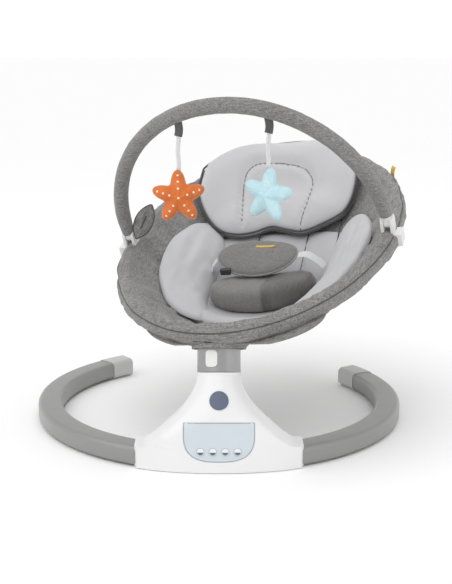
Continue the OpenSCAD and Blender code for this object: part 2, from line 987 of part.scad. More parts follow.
// Padded form on the bowl: an oval outline, a base that follows the bowl at a
// height, and a crowned top. lift raises the part that reaches over the rim.
module pad(middle, half, corner, base, thick, lift = 0, edge = 3) {
    steps = 28;
    rings = 5;
    outline = [for (i = [0:rings], j = [0:steps - 1]) let (
        a = -j * 360 / steps, r = i == 0 ? 0.05 : i / rings,
        u = middle.x + r * half.x * signed_power(cos(a), 2 / corner),
        v = middle.y + r * half.y * signed_power(sin(a), 2 / corner),
        w = bowl_w(u, v) + base + lift * smooth((bowl_share(u, v) - 0.5) / 0.4))
            [u, v, w, r]];
    top = [for (p = outline)
        [p.x, p.y, p.z + edge + (thick - edge) * sqrt(1 - pow(p[3], 4))]];
    low = [for (i = [rings:-1:0], j = [0:steps - 1]) let (
        p = outline[i * steps + j]) [p.x, p.y, p.z]];
    on_seat()
        polyhedron(points = concat(top, low),
            faces = tube_faces(2 * rings + 2, steps), convexity = 8);
}

module seat_liner() {
    color("lightgray")
        pad([0, -22], [bowl_half_w - 57, 168], 2.4, soft_gap, liner_t);
}

wing_base = soft_gap + liner_t + soft_gap;
wing_u = bowl_half_w - 65;

module left_wing() {
    color("silver")
        pad([-wing_u, -15], [38, 150], 2.3, wing_base, 22);
}

module right_wing() {
    color("silver")
        pad([wing_u, -15], [38, 150], 2.3, wing_base, 22);
}

module head_pillow() {
    color("gainsboro")
        pad([-10, 192], [bowl_half_w - 67, 84], 2.5, wing_base, 30, lift = 18);
}

module crotch_pad() {
    color("dimgray")
        pad([0, -72], [88, 44], 2.6, wing_base, 42);
}

module belly_pad() {
    color("dimgray")
        pad([-14, 4], [72, 50], 2.1, 66, 15, edge = 4);
}

// Waist strap on each side, from the belly pad's edge down to the liner
module waist_straps() {
    strap_w = 20;
    strap_t = 2;
    color("whitesmoke")
        on_seat()
            for (side = [-1, 1])
                hull() {
                    translate([side * 77, 4, -60])
                        cube([strap_t, strap_w, strap_t], center = true);
                    translate([side * 89, 4, -78])
                        cube([strap_t, strap_w, strap_t], center = true);
                }
}

module buckle() {
    color("dimgray")
        on_seat()
            translate([-60, -55, -55])
                cube([18, 8, 10], center = true);
}

// Fabric flap like a leaf, standing at the left end of the toy bar
module ear_flap() {
    flap_l = 66;
    flap_w = 30;
    arc_r = (flap_l * flap_l + flap_w * flap_w) / (4 * flap_w);
    color("dimgray")
        on_seat()
            translate([-bar_half_w + 33, pivot_v + 2.2, 39.7])
                rotate([66.6, 35.5, 6.3])
                    linear_extrude(height = 3)
                        intersection() {
                            translate([arc_r - flap_w / 2, 0])
                                circle(r = arc_r);
                            translate([-arc_r + flap_w / 2, 0])
                                circle(r = arc_r);
                        }
}

// Small cloth tag on the rim behind the right shoulder
module rim_tag() {
    tag_angle = 36;
    p = oval_point(tag_angle, -0.5);
    color("gold")
        on_seat()
            translate([p.x, p.y, -frame_drop + 4])
                rotate([0, 0, tag_angle])
                    translate([0, -7, 0])
                        cube([2, 14, 16]);
}

// ---------- toy bar ----------

pin_r = 4;
socket_l = 26;
socket_w = 22;
socket_out = 22;
socket_wall = 3;
ear_t = 5;
ear_r = 12;
eye_r = 10;
eye_t = 10;

// Places its children at a toy-bar pin: +X points outward from the seat
module at_pivot(side) {
    on_seat()
        translate([side * bar_half_w, pivot_v, pin_rise - frame_drop])
            rotate([0, 0, side < 0 ? 180 : 0])
                children();
}

// Block of a socket round the seat ring, with a gap round it and a taller top
module socket_block(side, gap, extra = 0) {
    at_pivot(side)
        translate([-socket_w / 2 - gap, -socket_l / 2 - gap,
                -pin_rise - frame_r - socket_wall - gap])
            cube([socket_w / 2 + socket_out + 2 * gap, socket_l + 2 * gap,
                2 * (frame_r + socket_wall + gap) + extra]);
}

// White clip round the seat ring with two ears that carry the bar's pin
module bar_socket(side) {
    ear_low = -pin_rise + frame_r;
    outer_ear = -socket_w / 2 + ear_t + 2 * trim_gap + eye_t;
    color("white")
        difference() {
            union() {
                socket_block(side, 0);
                at_pivot(side)
                    for (ear_x = [-socket_w / 2, outer_ear]) {
                        translate([ear_x, 0, 0])
                            rotate([0, 90, 0])
                                cylinder(r = ear_r, h = ear_t);
                        translate([ear_x, -ear_r, ear_low])
                            cube([ear_t, 2 * ear_r, -ear_low]);
                    }
                at_pivot(side)
                    translate([-socket_w / 2, 0, 0])
                        rotate([0, 90, 0])
                            cylinder(r = pin_r, h = outer_ear + socket_w / 2 + 1);
            }
            on_seat()
                oval_tube(frame_r + slip_gap, 8, 48);
        }
}

module left_bar_socket() bar_socket(-1);

module right_bar_socket() bar_socket(1);

// End fitting of the toy bar: an eye on the socket's pin and a spigot up the bar
module bar_end(side) {
    eye_x = -socket_w / 2 + ear_t + trim_gap;
    spigot_turn = (bar_lean - seat_slope) * side;
    color("white")
        at_pivot(side)
            difference() {
                union() {
                    translate([eye_x, 0, 0])
                        rotate([0, 90, 0])
                            cylinder(r = eye_r, h = eye_t);
                    rotate([spigot_turn, 0, 0])
                        cylinder(r = sleeve_r - 3, h = spigot_h);
                }
                translate([-30, 0, 0])
                    rotate([0, 90, 0])
                        cylinder(r = pin_r + running_gap, h = 60);
                translate([eye_x - 20, -20, -20])
                    cube([20, 40, 60]);
                translate([eye_x + eye_t, 0, 0])
                    rotate([0, 90, 0])
                        cylinder(r = ear_r + 1, h = 20);
                translate([-20, -20, -20 - eye_r])
                    cube([40, 40, 20]);
            }
}

module left_bar_end() bar_end(-1);

module right_bar_end() bar_end(1);

// Pivot line of the toy bar with the seat straight ahead
bar_pivot = [0, seat_y, seat_z] + turn_x([0, pivot_v, pin_rise - frame_drop], seat_slope);

// Point of the toy bar's arch: angle 0 at the right end, 180 at the left
function bar_point(angle) = swung_point(bar_pivot
    + [bar_half_w * cos(angle), -bar_rise * sin(angle) * sin(bar_lean),
        bar_rise * sin(angle) * cos(bar_lean)]);

// Tube swept along the arch between two angles, hollow if it is given a bore
module arch(radius, from, to, steps, sides) {
    points = [for (i = [0:steps]) let (
        angle = mix(from, to, i / steps),
        p = bar_point(angle),
        ahead = bar_point(angle + 0.5) - bar_point(angle - 0.5),
        along = ahead / norm(ahead),
        side = swung_point([0, cos(bar_lean), sin(bar_lean)]) - swung_point([0, 0, 0]),
        up = cross(side, along))
            for (j = [0:sides - 1]) let (turn = -(j + 0.5) * 360 / sides)
                p + radius * (side * cos(turn) + up * sin(turn))];
    polyhedron(points = points, faces = tube_faces(steps + 1, sides), convexity = 8);
}

module bar_core() {
    color("silver")
        arch(core_r, 6.5, 173.5, 32, 8);
}

module bar_sleeve() {
    color("gray")
        one_mesh()
            difference() {
                arch(sleeve_r, 6, 174, 32, 12);
                arch(core_r + slip_gap, 2, 178, 32, 8);
            }
}

// Places its children at the pin of a toy's loop, with +X along the bar
module at_loop_pin(angle) {
    ahead = bar_point(angle - 0.5) - bar_point(angle + 0.5);
    translate(bar_point(angle) - [0, 0, sleeve_r + loop_gap + loop_h - loop_pin_rise])
        rotate([0, 0, atan2(ahead.y, ahead.x)])
            children();
}

// Loop tabs under the bar, each with a pin across a notch at its lower end
module toy_loops() {
    notch_w = 8;
    color("dimgray")
        for (angle = [orange_angle, blue_angle])
            at_loop_pin(angle) {
                difference() {
                    translate([-loop_w / 2, -1.5, -loop_pin_rise])
                        cube([loop_w, 3, loop_h]);
                    translate([-notch_w / 2, -2, -loop_pin_rise - 1])
                        cube([notch_w, 4, loop_pin_rise + 1 + ribbon_eye_r + 1]);
                }
                translate([-loop_w / 2 + 1, 0, 0])
                    rotate([0, 90, 0])
                        cylinder(r = loop_pin_r, h = loop_w - 2);
            }
}

// Ribbon with an eye on the loop's pin, down to the star's upper tip
module toy_ribbon(angle) {
    ribbon_w = 7;
    length = toy_drop - toy_r - slip_gap - (sleeve_r + loop_gap + loop_h - loop_pin_rise);
    color("white")
        at_loop_pin(angle)
            difference() {
                union() {
                    translate([-ribbon_w / 2, 0, 0])
                        rotate([0, 90, 0])
                            cylinder(r = ribbon_eye_r, h = ribbon_w);
                    translate([-ribbon_w / 2, -1, -length])
                        cube([ribbon_w, 2, length]);
                }
                translate([-ribbon_w, 0, 0])
                    rotate([0, 90, 0])
                        cylinder(r = loop_pin_r + running_gap, h = 2 * ribbon_w);
            }
}

module orange_ribbon() toy_ribbon(orange_angle);

module blue_ribbon() toy_ribbon(blue_angle);

// Reach of a star's round-tipped outline at an angle from its middle
function star_reach(angle) = let (
    share = (1 - cos(5 * angle)) / 2,
    waist = toy_r * 0.6)
    mix(toy_r, waist, pow(share, 0.85));

// Plush star with five round arms, one pointing up, turned about its ribbon
module toy_star(angle, turn) {
    steps = 50;
    rings = 4;
    front = [for (i = [0:rings], j = [0:steps - 1]) let (
        a = j * 360 / steps,
        share = i == 0 ? 0.1 : i / rings,
        reach = share * star_reach(a),
        puff = 0.15 + 0.85 * sqrt(1 - pow(share, 2.6)) * mix(1, 0.8, share))
            [reach * sin(a), reach * cos(a), puff * toy_t / 2]];
    back = [for (i = [rings:-1:0], j = [0:steps - 1])
        let (p = front[i * steps + j]) [p.x, p.y, -p.z]];
    color("orange")
        translate(bar_point(angle) - [0, 0, toy_drop])
            rotate([90, 0, turn])
                polyhedron(points = concat(front, back),
                    faces = tube_faces(2 * rings + 2, steps), convexity = 6);
}

module orange_star() toy_star(orange_angle, 0);

module blue_star() toy_star(blue_angle, -32);

// ---------- nodes ----------

left_leg();
right_leg();
left_end_cap();
right_end_cap();
foot_pads();
front_housing();
base_plate();
base_screws();
panel_window();
badge();
power_button();
timer_button();
music_button();
speed_button();
control_board();
speaker();
dc_inlet();
chassis();
lower_bearing();
upper_bearing();
gear_motor();
motor_pinion();
lip_ring();
swing_shaft();
output_gear();
collar();
release_button();
release_spring();
seat_hub();
ring_clamp();
clamp_screws();
seat_ring();
rim_padding();
seat_bowl();
seat_liner();
left_wing();
right_wing();
head_pillow();
belly_pad();
crotch_pad();
waist_straps();
buckle();
ear_flap();
rim_tag();
left_bar_socket();
right_bar_socket();
bar_core();
bar_sleeve();
left_bar_end();
right_bar_end();
toy_loops();
orange_ribbon();
orange_star();
blue_ribbon();
blue_star();
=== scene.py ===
import json
from math import acos, cos, degrees, pi, radians, sin, sqrt

import bmesh
import bpy
from mathutils import Matrix, Vector, noise


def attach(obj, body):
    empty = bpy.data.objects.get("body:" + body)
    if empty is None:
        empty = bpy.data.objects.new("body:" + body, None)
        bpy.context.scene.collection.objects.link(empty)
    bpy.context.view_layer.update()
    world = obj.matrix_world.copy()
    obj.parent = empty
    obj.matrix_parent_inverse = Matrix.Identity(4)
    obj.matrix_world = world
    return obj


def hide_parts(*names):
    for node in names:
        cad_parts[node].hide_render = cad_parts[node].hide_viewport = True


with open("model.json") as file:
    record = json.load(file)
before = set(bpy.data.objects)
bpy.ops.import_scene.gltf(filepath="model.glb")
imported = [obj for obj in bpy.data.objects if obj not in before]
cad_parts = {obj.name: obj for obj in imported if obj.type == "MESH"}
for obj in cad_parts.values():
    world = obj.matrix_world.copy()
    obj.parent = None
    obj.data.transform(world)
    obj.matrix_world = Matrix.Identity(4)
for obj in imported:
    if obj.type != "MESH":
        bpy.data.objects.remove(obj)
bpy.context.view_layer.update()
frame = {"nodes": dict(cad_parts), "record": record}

# ---------- studio ----------
# A plain pale floor under a large soft sun from the upper left front, a weak
# fill and a weak top softbox, and a sky that is white at the horizon and dimmer
# overhead. A long lens looks a little down at the front of the swing.

scene = bpy.context.scene
scene.view_settings.view_transform = "Standard"


def softbox(name, place, aim, size, power):
    """Square area light at a place, turned towards a point."""
    lamp = bpy.data.lights.new(name, "AREA")
    lamp.size = size
    lamp.energy = power
    stand = bpy.data.objects.new(name, lamp)
    stand.location = place
    stand.rotation_euler = (Vector(aim) - Vector(place)).to_track_quat("-Z", "Y").to_euler()
    scene.collection.objects.link(stand)


studio_world = bpy.data.worlds.new("studio")
studio_world.use_nodes = True
sky_tree = studio_world.node_tree
sky = sky_tree.nodes["Background"]
sky.inputs["Color"].default_value = (1.0, 1.0, 1.0, 1.0)
facing = sky_tree.nodes.new("ShaderNodeTexCoord")
height = sky_tree.nodes.new("ShaderNodeSeparateXYZ")
fade = sky_tree.nodes.new("ShaderNodeMapRange")
horizon_height, overhead_height = 0.10, 0.45
horizon_light, overhead_light = 1.02, 0.66
fade.inputs["From Min"].default_value = horizon_height
fade.inputs["From Max"].default_value = overhead_height
fade.inputs["To Min"].default_value = horizon_light
fade.inputs["To Max"].default_value = overhead_light
sky_tree.links.new(facing.outputs["Generated"], height.inputs[0])
sky_tree.links.new(height.outputs["Z"], fade.inputs["Value"])
sky_tree.links.new(fade.outputs[0], sky.inputs["Strength"])
scene.world = studio_world

sun = bpy.data.lights.new("key_light", "SUN")
sun.energy = 1.15
sun.angle = radians(85)
sun_side = Vector((-0.55, -0.5, 1.3))
sun_stand = bpy.data.objects.new("key_light", sun)
sun_stand.rotation_euler = sun_side.to_track_quat("Z", "Y").to_euler()
scene.collection.objects.link(sun_stand)
lit_point = (0.0, 0.0, 0.2)
softbox("fill_light", (2.2, -1.4, 1.5), lit_point, size=1.8, power=4)
softbox("top_light", (0.3, 0.9, 2.4), lit_point, size=1.6, power=6)

camera_data = bpy.data.cameras.new("camera")
camera_data.lens = 69.4
camera_data.sensor_width = 36
camera_data.shift_x = 0.012
camera_data.shift_y = 0.1094
camera_dip = radians(15.2)
camera = bpy.data.objects.new("camera", camera_data)
camera.location = (0.0, -1.930, 0.6244)
camera.rotation_euler = (radians(90) - camera_dip, 0, 0)
scene.collection.objects.link(camera)
scene.camera = camera


class Wire:
    """A shader socket that takes part in sums."""

    def __init__(self, finish, socket):
        self.finish = finish
        self.socket = socket

    def sum(self, operation, *parts):
        return self.finish.node("Math", {"operation": operation}, dict(enumerate(parts)))

    def __add__(self, other):
        return self.sum("ADD", self, other)

    def __sub__(self, other):
        return self.sum("SUBTRACT", self, other)

    def __mul__(self, other):
        return self.sum("MULTIPLY", self, other)

    def __pow__(self, other):
        return self.sum("POWER", self, other)

    __radd__ = __add__
    __rmul__ = __mul__


class Finish:
    """One material: its surface shader and the nodes that feed it."""

    def __init__(self, name, **settings):
        self.material = bpy.data.materials.new(name)
        self.material.use_nodes = True
        self.tree = self.material.node_tree
        self.shader = self.tree.nodes["Principled BSDF"]
        for socket, value in settings.items():
            self.feed(socket.replace("_", " "), value)

    def feed(self, socket, value):
        self.join(self.shader.inputs[socket], value)

    def join(self, socket, value):
        if isinstance(value, Wire):
            self.tree.links.new(value.socket, socket)
        elif isinstance(value, tuple) and len(value) == 3 and socket.type == "RGBA":
            socket.default_value = value + (1.0,)
        else:
            socket.default_value = value

    def node(self, kind, settings, inputs, out=0):
        """A node of a type, with its settings set first and then its sockets."""
        made = self.tree.nodes.new("ShaderNode" + kind)
        for key, value in settings.items():
            setattr(made, key, value)
        for socket, value in inputs.items():
            self.join(made.inputs[socket], value)
        return Wire(self, made.outputs[out])

    def place(self, scale=(1, 1, 1)):
        """Position on the piece in metres, stretched along its axes."""
        here = self.node("TexCoord", {}, {}, out=3)
        return self.node("Mapping", {}, {"Vector": here, "Scale": scale})

    def grain(self, size, detail=2.0, scale=(1, 1, 1), rough=0.5):
        """Noise from 0 to 1 with grains of a size in millimetres."""
        inputs = {"Vector": self.place(scale), "Scale": 1000 / size, "Detail": detail}
        inputs["Roughness"] = rough
        return self.node("TexNoise", {}, inputs)

    def sharpen(self, value, low, high):
        """Stretches a value between two limits out to 0 and 1."""
        limits = {"Value": value, "From Min": low, "From Max": high}
        return self.node("MapRange", {"clamp": True}, limits)

    def mix(self, share, first, second):
        """Colour between two colours."""
        inputs = {0: share, 6: first, 7: second}
        return self.node("Mix", {"data_type": "RGBA"}, inputs, out=2)

    def bump(self, height, strength, depth):
        """Raises the surface by a height, whose full scale is depth millimetres."""
        inputs = {"Height": height, "Strength": strength, "Distance": depth / 1000}
        self.feed("Normal", self.node("Bump", {}, inputs))


def floor_finish():
    """Matt, nearly white floor with broad faint patches."""
    finish = Finish("pale_floor", Roughness=0.9, Specular_IOR_Level=0.1)
    patch = finish.grain(400)
    finish.feed("Base Color", finish.mix(patch, (0.97, 0.97, 0.97), (0.985, 0.985, 0.985)))
    return finish.material


floor_half = 90
floor_corners = [(-floor_half, -floor_half, 0), (floor_half, -floor_half, 0),
                 (floor_half, floor_half, 0), (-floor_half, floor_half, 0)]
floor_mesh = bpy.data.meshes.new("floor")
floor_mesh.from_pydata(floor_corners, [], [(0, 1, 2, 3)])
floor = bpy.data.objects.new("floor", floor_mesh)
floor_mesh.materials.append(floor_finish())
scene.collection.objects.link(floor)

# ---------- leg ring ----------
# Two bent steel tubes with a satin grey powder coat, a pale moulded cap on
# each free end, and thin rubber pads under them.

weld_gap = 0.00002
soft_angle = radians(32)


def refinish(finish, *nodes):
    """Gives carried-over CAD nodes a finish, with soft shading up to an angle."""
    for name in nodes:
        part = frame["nodes"][name]
        mesh = part.data
        if "custom_normal" in mesh.attributes:
            mesh.attributes.remove(mesh.attributes["custom_normal"])
        mesh.polygons.foreach_set("use_smooth", [True] * len(mesh.polygons))
        mesh.polygons.foreach_set("material_index", [0] * len(mesh.polygons))
        mesh.materials.clear()
        mesh.materials.append(finish)
        weld = part.modifiers.new("weld", "WELD")
        weld.merge_threshold = weld_gap
        split = part.modifiers.new("edges", "EDGE_SPLIT")
        split.split_angle = soft_angle


def powder_coat():
    """Satin grey paint over steel, with a fine speck."""
    finish = Finish("satin_powder_coat", Metallic=0.3, Coat_Weight=0.3, Coat_Roughness=0.22)
    tone = finish.grain(90, 3)
    speck = finish.grain(0.9, 1)
    finish.feed("Base Color", finish.mix(tone, (0.265, 0.27, 0.265), (0.30, 0.305, 0.295)))
    finish.feed("Roughness", 0.34 + 0.12 * finish.grain(25, 4))
    finish.bump(speck, 0.12, 0.08)
    return finish.material


def moulded(name, low, high, rough, grain_size=0.8, depth=0.05, **settings):
    """Moulded plastic: two close tones, uneven gloss and a fine spark grain."""
    finish = Finish(name, **settings)
    tone = finish.grain(45, 3)
    finish.feed("Base Color", finish.mix(tone, low, high))
    finish.feed("Roughness", rough + 0.1 * finish.grain(12, 3))
    finish.bump(finish.grain(grain_size, 1), 0.2, depth)
    return finish.material


refinish(powder_coat(), "left_leg", "right_leg")
refinish(moulded("cap_plastic", (0.52, 0.52, 0.50), (0.57, 0.57, 0.55), 0.42),
         "left_end_cap", "right_end_cap")
refinish(moulded("foot_rubber", (0.025, 0.025, 0.025), (0.04, 0.04, 0.04), 0.75), "foot_pads")

# ---------- housing ----------
# The white gloss shell over the drive, its floor plate and screws, the pale
# blue control panel with four round keys and a printed line round its edge, and
# a plain slate badge.


def gloss_white():
    """Glossy white moulding with a very slight ripple."""
    finish = Finish("gloss_white", Coat_Weight=0.35, Coat_Roughness=0.08)
    finish.feed("Base Color", finish.mix(finish.grain(60, 2), (0.80, 0.80, 0.80), (0.83, 0.83, 0.83)))
    finish.feed("Roughness", 0.28 + 0.08 * finish.grain(20, 3))
    finish.bump(finish.grain(6, 2), 0.05, 0.05)
    return finish.material


def panel_blue():
    """Pale blue glossy sheet of the control panel."""
    finish = Finish("panel_blue", Coat_Weight=0.5, Coat_Roughness=0.05)
    finish.feed("Base Color", finish.mix(finish.grain(50, 2), (0.58, 0.65, 0.695), (0.61, 0.68, 0.725)))
    finish.feed("Roughness", 0.25 + 0.08 * finish.grain(8, 3))
    finish.bump(finish.grain(1.2, 1), 0.05, 0.03)
    return finish.material


white_gloss = gloss_white()
white_matt = moulded("matt_white", (0.74, 0.74, 0.73), (0.80, 0.80, 0.79), 0.42)
dark_plastic = moulded("dark_plastic", (0.03, 0.03, 0.033), (0.05, 0.05, 0.053), 0.48)
bright_steel = moulded("bright_steel", (0.50, 0.50, 0.51), (0.58, 0.58, 0.59), 0.25, Metallic=1.0)
refinish(white_gloss, "front_housing")
refinish(white_matt, "base_plate")
refinish(bright_steel, "base_screws")
refinish(panel_blue(), "panel_window")
refinish(moulded("badge_slate", (0.10, 0.13, 0.19), (0.12, 0.15, 0.21), 0.35), "badge")

key_pitch, key_height = 18.9, 34.2
crescent_r, rim_line_r, line_blur = 4.9, 5.0, 0.3


def key_cap():
    """White key whose lower half shows a dark crescent printed under its clear face."""
    finish = Finish("key_cap", Coat_Weight=0.4, Coat_Roughness=0.1)
    here = finish.place()
    across = finish.node("SeparateXYZ", {}, {0: here}, out=0) * 1000
    height = finish.node("SeparateXYZ", {}, {0: here}, out=2) * 1000 - key_height
    within = finish.node("Math", {"operation": "FLOORED_MODULO"}, {0: across, 1: key_pitch})
    offset = within - key_pitch / 2
    radius = (offset * offset + height * height) ** 0.5
    inner = finish.sharpen(radius, crescent_r, crescent_r - line_blur)
    low = finish.sharpen(height, -0.4, -0.9)
    ring = finish.sharpen(radius, rim_line_r, rim_line_r + line_blur)
    white = finish.mix(finish.grain(20, 2), (0.78, 0.80, 0.81), (0.84, 0.86, 0.87))
    rimmed = finish.mix(ring, white, (0.50, 0.54, 0.57))
    finish.feed("Base Color", finish.mix(inner * low, rimmed, (0.09, 0.12, 0.15)))
    finish.feed("Roughness", 0.25 + 0.1 * finish.grain(8, 3))
    finish.bump(finish.grain(1, 1), 0.05, 0.03)
    return finish.material


refinish(key_cap(), "power_button", "timer_button", "music_button", "speed_button")


def signed_power(value, power):
    """Power of a number's size that keeps its sign."""
    return (1 if value > 0 else -1) * abs(value) ** power


def sewn(name, rings, finish, body, place=Matrix.Identity(4), caps=True):
    """Skin of quads over rings of points, in millimetres of a placed frame, with closed ends."""
    count = len(rings[0])
    points = [Vector(p) * 0.001 for ring in rings for p in ring]
    faces = []
    for i in range(len(rings) - 1):
        for j in range(count):
            k = (j + 1) % count
            faces.append((i * count + j, i * count + k, (i + 1) * count + k, (i + 1) * count + j))
    if caps:
        for ring, turn in ((0, -1), (len(rings) - 1, 1)):
            middle = sum((points[ring * count + j] for j in range(count)), Vector()) / count
            points.append(middle)
            for j in range(count):
                pair = (ring * count + j, ring * count + (j + 1) % count)
                faces.append(pair[::turn] + (len(points) - 1,))
    mesh = bpy.data.meshes.new(name)
    mesh.from_pydata(points, [], faces)
    mesh.polygons.foreach_set("use_smooth", [True] * len(faces))
    work = bmesh.new()
    work.from_mesh(mesh)
    bmesh.ops.recalc_face_normals(work, faces=work.faces)
    work.to_mesh(mesh)
    work.free()
    mesh.materials.append(finish)
    piece = bpy.data.objects.new(name, mesh)
    piece.matrix_world = place
    scene.collection.objects.link(piece)
    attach(piece, body)
    return piece


def rounded(path, radius, sides=8, flat=1.0, up=Vector((0, 0, 1)), closed=True):
    """Rings of a tube along a path, with a width share across it."""
    rings = []
    total = len(path)
    for i, point in enumerate(path):
        before = path[(i - 1) % total] if closed or i > 0 else point
        after = path[(i + 1) % total] if closed or i < total - 1 else point
        along = (after - before).normalized()
        side = along.cross(up).normalized()
        rise = side.cross(along).normalized()
        rings.append([point + radius * (side * cos(t) + rise * flat * sin(t))
                      for t in (2 * pi * j / sides for j in range(sides))])
    if closed:
        rings.append(rings[0])
    return rings


# Fine grey line printed round the panel's edge, laid on the window's own face
panel_half, panel_top, panel_side, panel_low = 54, 29.4, 13.4, 42.8
panel_round, curve_steps, edge_steps = 0.72, 36, 6
panel_lean = radians(16.2)
panel_frame = Matrix.Translation((0, -0.3125, 0.048)) @ Matrix.Rotation(-panel_lean, 4, "X")
edge_points = [(panel_half, panel_side), (panel_half, panel_top), (0, panel_top),
               (-panel_half, panel_top), (-panel_half, panel_side)]
for step in range(1, curve_steps):
    turn = pi + pi * step / curve_steps
    edge_points.append((panel_half * signed_power(cos(turn), panel_round),
                        panel_side + panel_low * signed_power(sin(turn), panel_round)))
bpy.context.view_layer.update()
window = frame["nodes"]["panel_window"]
to_window = window.matrix_world.inverted()
inward = to_window.to_3x3() @ (panel_frame.to_3x3() @ Vector((0, 1, 0)))
line_points = []
for start, stop in zip(edge_points, edge_points[1:] + edge_points[:1]):
    for step in range(edge_steps):
        x, z = (a + (b - a) * step / edge_steps for a, b in zip(start, stop))
        eye = to_window @ (panel_frame @ Vector((x / 1000, -0.03, z / 1000)))
        found, point, _, _ = window.ray_cast(eye, inward)
        if found:
            line_points.append(window.matrix_world @ point * 1000)
line_grey = moulded("panel_line", (0.30, 0.34, 0.38), (0.36, 0.40, 0.44), 0.4)
sewn("panel_outline", rounded(line_points, 0.45, 6, up=Vector((0, -1, 0))), line_grey,
     "base", caps=False)

# ---------- drive ----------
# What the housing hides: board, speaker, inlet, chassis, bronze bushes, geared
# motor, pinion, gear and hollow steel shaft, and the release button's spring.

refinish(moulded("solder_mask", (0.01, 0.12, 0.05), (0.02, 0.16, 0.07), 0.35), "control_board")
refinish(dark_plastic, "speaker", "dc_inlet")
refinish(moulded("grey_plastic", (0.24, 0.24, 0.25), (0.30, 0.30, 0.31), 0.5), "chassis")
refinish(moulded("oiled_bronze", (0.42, 0.25, 0.09), (0.52, 0.32, 0.12), 0.3, Metallic=1.0),
         "lower_bearing", "upper_bearing")
refinish(moulded("acetal", (0.62, 0.57, 0.45), (0.68, 0.63, 0.50), 0.35),
         "motor_pinion", "output_gear")
refinish(bright_steel, "gear_motor", "swing_shaft", "release_spring")

# ---------- collar and seat socket ----------
# Satin silver collar that turns with the seat, with its white release button,
# over a white lip ring; above it the dark socket, and the screwed clamp that
# holds the oval steel ring of the seat.


def brushed_silver():
    """Satin silver with fine brushed lines round the collar."""
    finish = Finish("brushed_silver", Metallic=1.0)
    lines = finish.grain(30, 4, scale=(1, 1, 60))
    tone = finish.grain(50, 2)
    finish.feed("Base Color", finish.mix(tone, (0.30, 0.30, 0.30), (0.42, 0.42, 0.42)))
    finish.feed("Roughness", 0.24 + 0.2 * lines)
    finish.bump(lines, 0.15, 0.04)
    return finish.material


refinish(white_gloss, "lip_ring")
refinish(brushed_silver(), "collar")
refinish(white_matt, "release_button")
refinish(dark_plastic, "seat_hub", "ring_clamp")
refinish(bright_steel, "clamp_screws", "seat_ring")

# ---------- seat cover ----------
# Padded heather cover stretched over the oval steel ring: a soft roll round
# the rim, a deep bowl, and a skirt that draws in round the socket at the front.

swing_joint = frame["record"]["behaviour"]["joints"][0]
neck = Vector(swing_joint["pos_m"])
axis_lean = acos(swing_joint["axis"][2])
swing_rest = radians(-20)
seat_slope = radians(20.5)
seat_middle = Vector((0, 0.042, 0.322))
upright = Matrix.Translation(neck) @ Matrix.Rotation(-axis_lean, 4, "X")
turned = upright @ Matrix.Rotation(swing_rest, 4, "Z")
carried = turned @ Matrix.Rotation(axis_lean, 4, "X") @ Matrix.Translation(-neck)
seat_frame = carried @ Matrix.Translation(seat_middle) @ Matrix.Rotation(seat_slope, 4, "X")

half_w, front_l, back_l = 251, 328, 315
roll_r, roll_inset, roll_drop = 17, 18, 14
bowl_inset, bowl_band, bowl_depth = 36, 20, 118
cover_t, padded_r, seam_turn = 5, roll_r + 1, 38


def mix(low, high, share):
    """Value between two values."""
    return low + (high - low) * share


def smooth(share):
    """Share held within 0 and 1 and eased at both ends."""
    share = min(1, max(0, share))
    return share * share * (3 - 2 * share)


def oval(angle, inset):
    """Point of the seat's oval at an angle, moved in from its edge."""
    length = front_l if sin(angle) < 0 else back_l
    return Vector(((half_w - inset) * cos(angle), (length - inset) * sin(angle)))


def bowl_share(u, v):
    """How far out a place lies: 0 in the bowl's middle and 1 at its edge."""
    length = (front_l if v < 0 else back_l) - bowl_inset
    return (u / (half_w - bowl_inset)) ** 2 + (v / length) ** 2


def bowl_w(u, v):
    """Height of the bowl's surface under the rim plane."""
    return -bowl_band - bowl_depth * max(0, 1 - bowl_share(u, v)) ** 0.9


def wave(x, y, z=0.0):
    """Smooth noise from about -1 to 1."""
    return noise.noise(Vector((x, y, z)))


def heather(name, dark, pale, streak=7, weave=1.3, sheen=0.25, contrast=(0.38, 0.62)):
    """Melange cloth: streaks of dark and pale yarn both ways over a weave in millimetres."""
    finish = Finish(name, Roughness=0.88, Sheen_Weight=sheen, Sheen_Roughness=0.5)
    across = finish.grain(streak, 3, scale=(0.35, 4, 4), rough=0.7)
    down = finish.grain(streak, 3, scale=(4, 0.35, 4), rough=0.7)
    yarn = finish.sharpen((across + down) * 0.5, *contrast)
    broad = finish.grain(70, 2)
    share = yarn * 0.75 + broad * 0.25
    finish.feed("Base Color", finish.mix(share, dark, pale))
    one_millimetre_scale = 314
    inputs = {"Vector": finish.place(), "Scale": one_millimetre_scale / weave}
    inputs.update({"Distortion": 1.5, "Detail Scale": 2.0})
    bands = [finish.node("TexWave", {"bands_direction": way}, inputs) for way in "XY"]
    finish.bump(bands[0] * bands[1] + yarn * 0.4, 0.5, 0.5)
    return finish.material


grey_heather = heather("grey_heather", (0.10, 0.097, 0.095), (0.36, 0.352, 0.345), contrast=(0.41, 0.60))
dark_trim = heather("dark_trim", (0.045, 0.045, 0.045), (0.12, 0.12, 0.12))


def cover_rings(columns=240):
    """Rings from the bowl's middle up its wall, over the rim's roll and back below."""
    rings = []
    angles = [2 * pi * j / columns for j in range(columns)]
    top_steps, roll_steps, under_steps = 33, 24, 19
    for step in range(top_steps + 1):
        rings.append([cover_top(mix(0.04, 1, step / top_steps), angle) for angle in angles])
    for step in range(1, roll_steps):
        turn = radians(mix(128, -140, step / roll_steps))
        rings.append([cover_roll(turn, angle) for angle in angles])
    for step in range(under_steps + 1):
        share = mix(1, 0.04, step / under_steps)
        ring = []
        for angle in angles:
            u, v = oval(angle, bowl_inset) * share
            ring.append((u, v, bowl_w(u, v) - cover_t + 1.5 * wave(u / 40, v / 40, 9)))
        rings.append(ring)
    return rings


